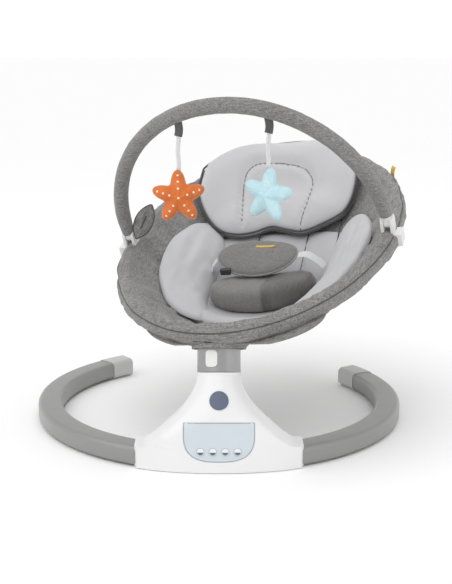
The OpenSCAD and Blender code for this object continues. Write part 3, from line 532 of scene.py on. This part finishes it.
def crease(angle, depth):
    """Folds that run in from the rim, and long soft dents along it."""
    x, y = cos(angle) * 8, sin(angle) * 9
    sharp = 1 - min(1, abs(wave(x * 1.6, y * 1.6, depth / 90)) * 5)
    soft = wave(x * 0.8, y * 0.8, depth / 35)
    fine = wave(x * 4, y * 4, depth / 30)
    gather = 1 - min(1, abs(wave(cos(angle) * 3.1, sin(angle) * 3.1, depth / 240)) * 6)
    return 9 * soft - 5 * sharp - 7 * gather + 1.8 * fine


def cover_top(share, angle):
    """Point of the cover inside the bowl, padded and folded towards the rim."""
    u, v = oval(angle, bowl_inset) * share
    padding = 13 * smooth((share - 0.62) / 0.28)
    fold = crease(angle, (1 - share) * 215) * smooth((share - 0.6) / 0.15)
    return (u, v, bowl_w(u, v) + padding + fold)


def cover_roll(turn, angle):
    """Point of the padded roll, at a turn about the tube and an angle round the seat."""
    middle = oval(angle, roll_inset)
    ahead = oval(angle + 0.01, roll_inset) - oval(angle - 0.01, roll_inset)
    out = Vector((ahead.y, -ahead.x)).normalized()
    seam = 1.8 * max(0, 1 - abs(degrees(turn) - seam_turn) / 9)
    radius = padded_r + 0.3 * crease(angle, -degrees(turn)) - seam
    reach = radius * cos(turn)
    return (middle.x + out.x * reach, middle.y + out.y * reach, radius * sin(turn) - roll_drop)


cover = sewn("padded_cover", cover_rings(), grey_heather, "seat", seat_frame)
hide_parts("seat_bowl", "rim_padding")

# Corded seam round the rim, where the top panel meets the skirt panel
seam_line = [Vector(cover_roll(radians(seam_turn), 2 * pi * step / 240)) for step in range(240)]
sewn("rim_seam", rounded(seam_line, 1.5, 6), dark_trim, "seat", seat_frame,
     caps=False)


def under_w(u, v):
    """Height of the cover's underside: the bowl, or the rim's roll if that is lower."""
    share = sqrt((u / (half_w - roll_inset)) ** 2 + (v / (front_l - roll_inset)) ** 2)
    away = min(padded_r - 0.1, abs(share - 1) * sqrt(u * u + v * v) / share)
    return min(bowl_w(u, v) - cover_t, -roll_drop - sqrt(padded_r ** 2 - away ** 2))


socket_r, socket_rise, socket_pull = 0.041, 0.0415, 14
skirt_half_u, skirt_front_v, skirt_back_v = 150, 90, 60
skirt_middle = Vector((15, -245))
skirt_stop_v, flare_v_middle = -322, -262


def skirt_rings(columns=128, steps=18):
    """Funnel of cover cloth from the underside of the rim down to the socket."""
    hub_place = seat_frame.inverted() @ turned @ Matrix.Translation((0, 0, socket_rise))
    pull = hub_place.to_3x3() @ Vector((0, 0, socket_pull))
    rings = []
    for i in range(steps + 1):
        t = i / steps
        ring = []
        for j in range(columns):
            a = 2 * pi * j / columns
            low = hub_place @ Vector((socket_r * cos(a), socket_r * sin(a), 0)) * 1000
            reach_v = skirt_front_v if sin(a) < 0 else skirt_back_v
            u = skirt_middle.x + skirt_half_u * cos(a)
            v = max(skirt_stop_v, skirt_middle.y + reach_v * sin(a))
            high = Vector((u, v, under_w(u, v) + 1.5))
            flare_u, flare_v = u * 0.55, mix(flare_v_middle, v, 0.6)
            flare = Vector((flare_u, flare_v, under_w(flare_u, flare_v) - 2))
            p = (low * (1 - t) ** 3 + (low + pull) * 3 * t * (1 - t) ** 2
                 + flare * 3 * t * t * (1 - t) + high * t ** 3)
            fold = 2.2 * sin(pi * t) * wave(cos(a) * 3, sin(a) * 3, t * 1.5)
            ring.append(p + Vector((cos(a), sin(a), -0.4)) * fold)
        rings.append(ring)
    return rings


skirt = sewn("cover_skirt", skirt_rings(), grey_heather, "seat", seat_frame,
             caps=False)
thick = skirt.modifiers.new("thick", "SOLIDIFY")
thick.thickness = 0.0016
thick.offset = 1

# ---------- liner ----------
# Soft light grey insert: a quilted mat with sewn channels up its back and a
# crescent bolster down each side.


def soft_knit(name, dark, pale, sheen=0.35):
    """Light knitted cloth with a short fuzz and faint slanted rows."""
    finish = Finish(name, Roughness=0.95, Sheen_Weight=sheen, Sheen_Roughness=0.4)
    fuzz = finish.grain(1.6, 3, rough=0.7)
    broad = finish.grain(55, 2)
    finish.feed("Base Color", finish.mix(broad * 0.6 + fuzz * 0.4, dark, pale))
    here = finish.place()
    rows = finish.node("TexWave", {"bands_direction": "DIAGONAL"},
                       {"Vector": here, "Scale": 220, "Distortion": 2.0})
    finish.bump(fuzz + rows * 0.5, 0.35, 0.5)
    return finish.material


pale_knit = soft_knit("pale_knit", (0.46, 0.46, 0.475), (0.56, 0.56, 0.575))
channel_us, channel_half, channel_drop = (-121, -54, 40, 106), 7, 6
cross_v, cross_half = -52, 8
mat_half_u, mat_half_v, mat_middle_v, mat_power = 162, 172, -20, 2.4


def liner_w(u, v):
    """Top of the quilted mat."""
    channel = max(max(0, 1 - abs(u - line) / channel_half) for line in channel_us)
    channel *= smooth((v - 20) / 30)
    cross = max(0, 1 - abs(v - cross_v) / cross_half) * smooth((120 - abs(u)) / 20)
    reach = (abs(u) / mat_half_u) ** mat_power + (abs(v - mat_middle_v) / mat_half_v) ** mat_power
    lip = 13 * smooth((reach - 0.42) / 0.3) * smooth((-60 - v) / 40)
    sunk = channel_drop * max(channel, cross)
    return bowl_w(u, v) + 14 + lip - sunk + 2.2 * wave(u / 38, v / 38, 2)


def mat_point(angle, share):
    """Place on the mat at an angle and a share of the way out to its edge."""
    return (mat_half_u * share * signed_power(cos(angle), 2 / mat_power),
            mat_middle_v + mat_half_v * share * signed_power(sin(angle), 2 / mat_power))


def mat_rings(columns=140, rings_up=40):
    """Rings over the mat's quilted top, then back across its flat underside."""
    rings = []
    angles = [2 * pi * j / columns for j in range(columns)]
    for i in range(rings_up + 1):
        share = mix(0.03, 1, i / rings_up)
        edge = sqrt(max(0, 1 - share ** 8))
        rings.append([(u, v, mix(bowl_w(u, v) + 3, liner_w(u, v), edge))
                      for u, v in (mat_point(angle, share) for angle in angles)])
    for share in (1.0, 0.6, 0.2):
        rings.append([(u, v, bowl_w(u, v) + 0.5)
                      for u, v in (mat_point(angle, share * 0.995) for angle in angles)])
    return rings


mat = sewn("quilted_mat", mat_rings(), pale_knit, "seat", seat_frame)
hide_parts("seat_liner")
for number, line in enumerate(channel_us):
    path = [Vector((line, v, liner_w(line, v) + 0.6)) for v in range(24, 150, 5)]
    sewn(f"mat_channel_{number}", rounded(path, 1.2, 6, closed=False), dark_trim,
         "seat", seat_frame)


def curve_through(points, steps, closed=True):
    """Smooth curve through points, with an even number of steps between them."""
    total = len(points)
    line = []
    spans = total if closed else total - 1
    for i in range(spans):
        near = [Vector(points[(i + k) % total if closed else min(max(i + k, 0), total - 1)])
                for k in (-1, 0, 1, 2)]
        for step in range(steps):
            t = step / steps
            a, b, c, d = near
            line.append(0.5 * ((2 * b) + (c - a) * t + (2 * a - 5 * b + 4 * c - d) * t * t
                               + (3 * b - 3 * c + d - a) * t ** 3))
    if not closed:
        line.append(Vector(points[-1]))
    return line


def cushion(name, outline, middle, base, thick, edge, finish, rings_up=14, power=3.0,
            shape=lambda u, v: 0.0, place=seat_frame):
    """Crowned closed pad: a base on a surface and a domed top with its own dents."""
    top, low = [], []
    middle = Vector(middle)
    for i in range(rings_up + 1):
        share = 0.05 + 0.95 * i / rings_up
        dome = edge + (thick - edge) * sqrt(max(0, 1 - share ** power))
        curl = (1 - sqrt(max(0, 1 - share ** 6))) * edge * 0.5
        top.append([(p.x, p.y, base(p.x, p.y) + dome + shape(p.x, p.y) * (1 - share ** 8))
                    for p in (middle + (q - middle) * share for q in outline)])
        low.append([(p.x, p.y, base(p.x, p.y) + curl)
                    for p in (middle + (q - middle) * share * 0.995 for q in outline)])
    return sewn(name, top + low[::-1], finish, "seat", place)


left_edge = [(-160, 112), (-181, 68), (-189, 15), (-181, -63), (-159, -119), (-134, -160),
             (-100, -184), (-70, -180), (-76, -142), (-90, -96), (-98, -40), (-102, 30),
             (-110, 96), (-132, 126)]
wing_finish = soft_knit("wing_knit", (0.50, 0.50, 0.515), (0.60, 0.60, 0.615))
for side, node in ((1, "left_wing"), (-1, "right_wing")):
    edge_line = curve_through([(u * side, v) for u, v in left_edge][::side], 5)
    wing = cushion(node + "_bolster", edge_line, (-146 * side, -25),
                   lambda u, v: bowl_w(u, v) + 7, 29, 4, wing_finish,
                   power=2.2,
                   shape=lambda u, v: 3.0 * wave(u / 13, v / 70, 5) + 1.6 * wave(u / 30, v / 16, 1))
    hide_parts(node)

# ---------- head pillow ----------
# Wide bean-shaped pillow of light knit, with double dark piping round its edge
# and a sewn horseshoe that sinks its middle panel; the shade in the horseshoe
# groove is painted as a dark grey cord.

pillow_edge = [(-158, 147), (-156, 188), (-147, 217), (-128, 244), (-104, 262), (-59, 274), (12, 279),
               (74, 268), (112, 240), (137, 190), (133, 156), (113, 139), (78, 136), (33, 131),
               (2, 139), (-28, 145), (-58, 128), (-85, 114), (-109, 108), (-128, 112), (-147, 126)]


def pillow_base(u, v):
    """Height of the pillow's underside, which rises over the rim's padding."""
    return bowl_w(u, v) + 16 + 18 * smooth((bowl_share(u, v) - 0.5) / 0.4)


horseshoe = curve_through([(-80, 118), (-82, 150), (-85, 186), (-80, 215), (-58, 234), (-15, 239),
                           (26, 231), (47, 208), (42, 176), (32, 145), (28, 122)], 4, closed=False)


def seam_distance(u, v):
    """Distance from a place to the horseshoe seam."""
    return min((Vector((u, v)) - p).length for p in horseshoe)


def inside(u, v, line):
    """Whether a place lies inside a closed line."""
    found = False
    for a, b in zip(line, line[1:] + line[:1]):
        if (a.y > v) != (b.y > v) and u < a.x + (b.x - a.x) * (v - a.y) / (b.y - a.y):
            found = not found
    return found


def pillow_shape(u, v):
    """Sewn groove, a sunken panel inside it and soft lumps of filling."""
    away = seam_distance(u, v)
    sunk = 7 * smooth(away / 26) if inside(u, v, horseshoe) else 0
    ruck = 1.2 * wave(u / 9, v / 9, 3) * max(0, 1 - away / 30)
    return -9 * max(0, 1 - away / 14) ** 2 - sunk + ruck + 1.6 * wave(u / 34, v / 34, 6)


pillow_line = curve_through(pillow_edge, 8)
pillow_knit = soft_knit("pillow_knit", (0.52, 0.52, 0.535), (0.63, 0.63, 0.645))
pillow_middle = Vector((-10, 196))
pillow = cushion("head_pillow_pad", pillow_line, pillow_middle, pillow_base, 40, 10, pillow_knit,
                 rings_up=34, power=2.4, shape=pillow_shape)
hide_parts("head_pillow")


def pillow_top(u, v):
    """Height of the pillow's face, found on its own mesh."""
    found, point, _, _ = pillow.ray_cast(Vector((u, v, 200)) / 1000, Vector((0, 0, -1)))
    return point.z * 1000 if found else pillow_base(u, v)


bpy.context.view_layer.update()
# Dark grey cord laid along the horseshoe groove: painted shade of the groove.
groove_shade_grey = soft_knit("groove_shade_grey", (0.22, 0.22, 0.23), (0.30, 0.30, 0.31))
groove_shade_path = [Vector((p.x, p.y, pillow_top(p.x, p.y) + 0.9)) for p in horseshoe[2:-2]]
sewn("horseshoe_groove_shade", rounded(groove_shade_path, 1.1, 6, closed=False), groove_shade_grey,
     "seat", seat_frame)
for name, lift, grow in (("pillow_piping", 12, 2.5), ("pillow_piping_low", 5, 3.0)):
    path = []
    for p in pillow_line:
        outward = (p - pillow_middle).normalized().to_3d()
        path.append(Vector((p.x, p.y, pillow_base(p.x, p.y) + lift)) + outward * grow)
    sewn(name, rounded(path, 2.0, 8), dark_trim, "seat", seat_frame, caps=False)

# ---------- harness pads ----------
# Dark leg bolster on the mat and, over it, the oval padded belly pad with its
# small yellow tag, held by white webbing straps and a dark moulded buckle.


def satin(name, dark, pale):
    """Woven cloth that gives way to satin on the right of an edge across the piece."""
    finish = Finish(name, Sheen_Weight=0.3, Sheen_Roughness=0.3)
    broad = finish.grain(40, 3)
    threads = finish.grain(6, 2, scale=(6, 0.4, 1))
    tone = finish.mix(finish.sharpen(broad * 0.6 + threads * 0.4, 0.3, 0.7), dark, pale)
    across = finish.node("SeparateXYZ", {}, {0: finish.place()})
    panel = finish.sharpen(across + 0.004 * broad, 0.012, 0.018)
    woven = finish.mix(finish.grain(4, 3, rough=0.7), (0.13, 0.127, 0.122), (0.30, 0.295, 0.285))
    finish.feed("Base Color", finish.mix(panel, woven, tone))
    finish.feed("Roughness", 0.5 + 0.25 * broad)
    finish.bump(threads, 0.4, 0.4)
    return finish.material


dark_satin = satin("dark_satin", (0.07, 0.066, 0.063), (0.19, 0.18, 0.175))
belly_heather = heather("belly_heather", (0.09, 0.086, 0.082), (0.27, 0.26, 0.25), streak=4)


def blunt_oval(middle, half_u, half_v, power_u, power_v, points):
    """Closed oval line whose powers above 2 make it squarer."""
    return [Vector((middle[0] + half_u * signed_power(cos(a), 2 / power_u),
                    middle[1] + half_v * signed_power(sin(a), 2 / power_v)))
            for a in (2 * pi * j / points for j in range(points))]


leg_middle = Vector((6, -68))
bolster_turn = Matrix.Rotation(radians(6), 2)
leg_edge = [leg_middle + bolster_turn @ p for p in blunt_oval((0, 0), 94, 45, 3.2, 2.8, 96)]
leg_bolster = cushion("leg_bolster", leg_edge, leg_middle, lambda u, v: bowl_w(u, v) + 14, 50, 16,
                      dark_satin, power=4.0,
                      shape=lambda u, v: 1.8 * wave(u / 14, v / 60, 8) + 1.0 * wave(u / 30, v / 30))
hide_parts("crotch_pad")
belly_middle, belly_lift = (-15, -1), 66
belly_edge = blunt_oval(belly_middle, 71, 58, 2.1, 2.1, 72)
belly = cushion("belly_pad_cover", belly_edge, belly_middle,
                lambda u, v: bowl_w(u, v) + belly_lift, 15, 5, belly_heather,
                shape=lambda u, v: 1.4 * wave(u / 26, v / 18, 7))
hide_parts("belly_pad")
belly_rim = [Vector((p.x, p.y, bowl_w(p.x, p.y) + belly_lift + 4)) for p in belly_edge]
trim_grey = heather("trim_grey", (0.20, 0.20, 0.20), (0.34, 0.34, 0.34))
sewn("belly_piping", rounded(belly_rim, 1.8, 8), trim_grey, "seat", seat_frame,
     caps=False)


def yellow_cloth():
    """Coarse yellow cloth of the tags."""
    finish = Finish("yellow_cloth", Roughness=0.85, Sheen_Weight=0.3)
    thread = finish.grain(1.2, 2)
    finish.feed("Base Color", finish.mix(thread, (0.62, 0.36, 0.02), (0.85, 0.56, 0.06)))
    finish.bump(thread, 0.5, 0.3)
    return finish.material


def webbing():
    """White ribbed webbing."""
    finish = Finish("white_webbing", Roughness=0.8, Sheen_Weight=0.2)
    ribs = finish.node("TexWave", {"bands_direction": "Y"},
                       {"Vector": finish.place(), "Scale": 240, "Distortion": 0.5})
    finish.feed("Base Color", finish.mix(ribs, (0.62, 0.62, 0.62), (0.76, 0.76, 0.76)))
    finish.bump(ribs, 0.5, 0.4)
    return finish.material


white_web = webbing()


def strap(name, path, width, thick, finish, body, up=Vector((0, 0, 1)), place=seat_frame):
    """Flat band along a path, with rounded long edges."""
    return sewn(name, rounded(path, width / 2, 12, thick / width, up, closed=False), finish,
                body, place)


tag_yellow = yellow_cloth()
tag_v, tag_lift = 31, 79.5
tag_path = [Vector((u, tag_v + 0.05 * u, bowl_w(u, tag_v) + tag_lift)) for u in range(-26, 10, 5)]
strap("belly_tag", tag_path, 6, 1.4, tag_yellow, "seat")
strap_w, strap_t = 20, 2.4
right_path = curve_through([(50, 4, -64), (72, 2, -60), (90, 0, -70), (104, -2, -84)], 6,
                           closed=False)
left_path = curve_through([(-78, 4, -64), (-90, 2, -62), (-102, 0, -72), (-108, -2, -84)], 6,
                          closed=False)
right_strap = strap("right_waist_strap", right_path, strap_w, strap_t, white_web, "seat")
strap("left_waist_strap", left_path, strap_w, strap_t, white_web, "seat")
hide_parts("waist_straps")
refinish(dark_plastic, "buckle")

# ---------- toy bar ----------
# Steel hoop in a padded heather sleeve, on two white plastic clips that turn
# on the seat ring, with a soft leaf flap beside the left one.

refinish(white_matt, "left_bar_socket", "right_bar_socket", "left_bar_end", "right_bar_end")
refinish(bright_steel, "bar_core")
bar_half_w, bar_rise, bar_lean = 233, 257, radians(33)
bar_pivot = (Matrix.Translation(seat_middle) @ Matrix.Rotation(seat_slope, 4, "X")
             @ Vector((0, -0.033, 0.016)))
sleeve_r, sleeve_start, sleeve_stop = 12.5, 3.6, 178.4


def bar_point(angle):
    """Point of the toy bar's arch in the object's frame, in millimetres."""
    offset = Vector((bar_half_w * cos(angle), -bar_rise * sin(angle) * sin(bar_lean),
                     bar_rise * sin(angle) * cos(bar_lean)))
    return carried @ (bar_pivot + offset * 0.001) * 1000


def sleeve_rings(steps=220, sides=36):
    """Puckered rings along the bar, with a seam and ends drawn in."""
    flat = carried.to_3x3() @ Vector((0, cos(bar_lean), sin(bar_lean)))
    rings = []
    for i in range(steps + 1):
        angle = radians(mix(sleeve_start, sleeve_stop, i / steps))
        along = (bar_point(angle + 0.01) - bar_point(angle - 0.01)).normalized()
        up = flat.cross(along)
        ends = max(0, 1 - min(i, steps - i) / 14)
        ring = []
        for j in range(sides):
            t = 2 * pi * j / sides
            pucker = (0.5 * wave(i / 3.0, cos(t) * 1.5, sin(t) * 1.5)
                      + 0.5 * wave(i / 14, cos(t), sin(t)))
            from_seam = abs(degrees(t) - 90)
            seam = 0.9 * max(0, 1 - from_seam / 12)
            radius = sleeve_r + 0.3 + 0.8 * pucker - seam - 1.6 * ends * ends
            ring.append(bar_point(angle) + radius * (flat * cos(t) + up * sin(t)))
        rings.append(ring)
    return rings


sleeve = sewn("bar_sleeve_cover", sleeve_rings(), grey_heather, "toy_bar")
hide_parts("bar_sleeve")

# Soft leaf flap with a piped edge and a stitched buttonhole, by the left clip
flap_l, flap_w = 66, 30
flap_arc = (flap_l ** 2 + flap_w ** 2) / (4 * flap_w)
flap_place = (seat_frame @ Matrix.Translation((-0.200, -0.0308, 0.0397))
              @ Matrix.Rotation(radians(6.3), 4, "Z") @ Matrix.Rotation(radians(35.5), 4, "Y")
              @ Matrix.Rotation(radians(66.6), 4, "X"))
flap_edge = []
for angle in (2 * pi * j / 48 for j in range(48)):
    y = flap_l / 2 * sin(angle)
    half_across = sqrt(flap_arc ** 2 - y * y) - flap_arc + flap_w / 2 + 0.8
    flap_edge.append(Vector((half_across if cos(angle) > 0 else -half_across, y)))
flap = cushion("leaf_flap", flap_edge, (0, 0), lambda u, v: -2.0, 8, 3, grey_heather,
               shape=lambda u, v: 0.6 * wave(u / 12, v / 12, 4) - 1.8 * max(0, 1 - abs(u) / 3),
               place=flap_place)
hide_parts("ear_flap")
sewn("leaf_piping", rounded([Vector((p.x, p.y, 1)) for p in flap_edge], 1.3, 6), dark_trim,
     "seat", flap_place, caps=False)
strap("leaf_buttonhole", [Vector((0, y, 4.9)) for y in range(-12, 13, 4)], 3.2, 1.2, dark_trim,
      "seat", place=flap_place)

# Folded yellow tag in the seam behind the right shoulder
tag_turn = radians(36)
tag_foot = oval(tag_turn, -0.5)
tag_place = (seat_frame @ Matrix.Translation((tag_foot.x / 1000, tag_foot.y / 1000, -0.010))
             @ Matrix.Rotation(tag_turn, 4, "Z"))
tag = strap("folded_tag", [Vector((0.5 + 0.02 * z * z, 0, z)) for z in range(-2, 17, 2)], 14, 2.4,
            tag_yellow, "seat", Vector((1, 0, 0)), tag_place)
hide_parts("rim_tag")

# ---------- toys ----------
# Two plush stars, orange with white spots and pale blue, on white ribbons from
# dark cloth loops sewn round the bar.


def plush(name, dark, pale, fuzz_size):
    """Deep pile cloth with grains of a size in millimetres."""
    finish = Finish(name, Roughness=0.95, Sheen_Weight=0.6, Sheen_Roughness=0.35)
    fuzz = finish.grain(fuzz_size, 4, rough=0.75)
    patch = finish.grain(16, 2)
    finish.feed("Base Color", finish.mix(finish.sharpen(fuzz * 0.6 + patch * 0.4, 0.3, 0.7), dark, pale))
    finish.bump(fuzz, 0.9, 1.0)
    return finish.material


toy_r, toy_t, toy_drop, loop_drop = 44, 25, 131, 32.5
# Colour, place along the bar, turn about the ribbon and roll in degrees, and plush
toys = (("orange", 105.8, 0, 2, plush("orange_plush", (0.60, 0.12, 0.022), (0.86, 0.25, 0.06), 2.0)),
        ("blue", 68.5, -32, -7, plush("blue_plush", (0.42, 0.68, 0.74), (0.66, 0.86, 0.90), 2.8)))
ribbon_white = webbing()
spot_white = moulded("embroidered_spots", (0.80, 0.76, 0.70), (0.88, 0.85, 0.80), 0.7)


def star_reach(angle):
    """Distance from the star's middle to its edge, long at five arms."""
    share = (1 - cos(5 * angle)) / 2
    return mix(toy_r, toy_r * 0.55, share ** 0.95)


def star_height(angle, share):
    """Half thickness of the stuffed star at an angle and a share of its reach."""
    arm = mix(1, 0.86 + 0.14 * cos(5 * angle), share)
    puff = sqrt(max(0, 1 - share ** 2.8)) * mix(1.08, 0.86, share) + 0.05
    return puff * arm * toy_t / 2


def star_point(angle, share, side=1):
    """Point of the stuffed star, on its front or, with side -1, on its back."""
    reach = share * star_reach(angle)
    x, y = reach * sin(angle), reach * cos(angle)
    lump = 0.7 * wave(x / 10, y / 10, side * 3) * (1 - share)
    return Vector((x, y, side * (star_height(angle, share) + lump)))


def star_rings(columns=120, rings_up=14):
    """Rings out over the star's front and in again over its back."""
    shares = [0.06 + 0.94 * i / rings_up for i in range(rings_up + 1)]
    angles = [2 * pi * j / columns for j in range(columns)]
    return ([[star_point(a, share) for a in angles] for share in shares]
            + [[star_point(a, share, -1) for a in angles] for share in shares[::-1]])


def spot_rings(middle, radius):
    """Low round dot of stitches on the star's face."""
    return [[middle + Vector((radius * k * cos(t), radius * k * sin(t), 0.9 * sqrt(1 - k * k) - 0.5))
             for t in (2 * pi * j / 14 for j in range(14))] for k in (0.1, 0.5, 0.8, 1.0)]


dark_loop = heather("loop_cloth", (0.05, 0.05, 0.05), (0.14, 0.14, 0.135), streak=3)
for colour, place_angle, turn, roll, finish in toys:
    hang = bar_point(radians(place_angle))
    star_place = (Matrix.Translation((hang - Vector((0, 0, toy_drop))) * 0.001)
                  @ Matrix.Rotation(radians(turn), 4, "Z") @ Matrix.Rotation(radians(90), 4, "X")
                  @ Matrix.Rotation(radians(roll), 4, "Z"))
    star = sewn(colour + "_star_plush", star_rings(), finish, colour + "_toy",
                star_place)
    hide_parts(colour + "_star")
    spots = [(0, 0.0)] + [(72 * arm, share) for arm in range(5) for share in (0.34, 0.58, 0.80)]
    for number, (angle, share) in enumerate(spots):
        middle = star_point(radians(angle), share)
        spot_finish = finish if colour == "blue" else spot_white
        sewn(f"{colour}_spot_{number}", spot_rings(middle, 2.1), spot_finish,
             colour + "_toy", star_place)
    top, low = hang.z - loop_drop + 3, hang.z - toy_drop + toy_r - 2
    path = [Vector((hang.x + 0.8 * sin(k * 0.9), hang.y, mix(low, top, k / 10))) for k in range(11)]
    ribbon = strap(colour + "_ribbon_band", path, 7, 1.8, ribbon_white, colour + "_toy",
                   Vector((0, 1, 0)), Matrix.Identity(4))
    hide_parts(colour + "_ribbon")
    loop_low, loop_top = hang.z - loop_drop - 2, hang.z - 8
    loop_path = [Vector((hang.x + 1.5 * sin(k / 2), hang.y, mix(loop_low, loop_top, k / 8)))
                 for k in range(9)]
    loop = strap(colour + "_loop_band", loop_path, 13, 4.0, dark_loop, "toy_bar",
                 Vector((0, 1, 0)), Matrix.Identity(4))
    if colour == "orange":
        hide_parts("toy_loops")
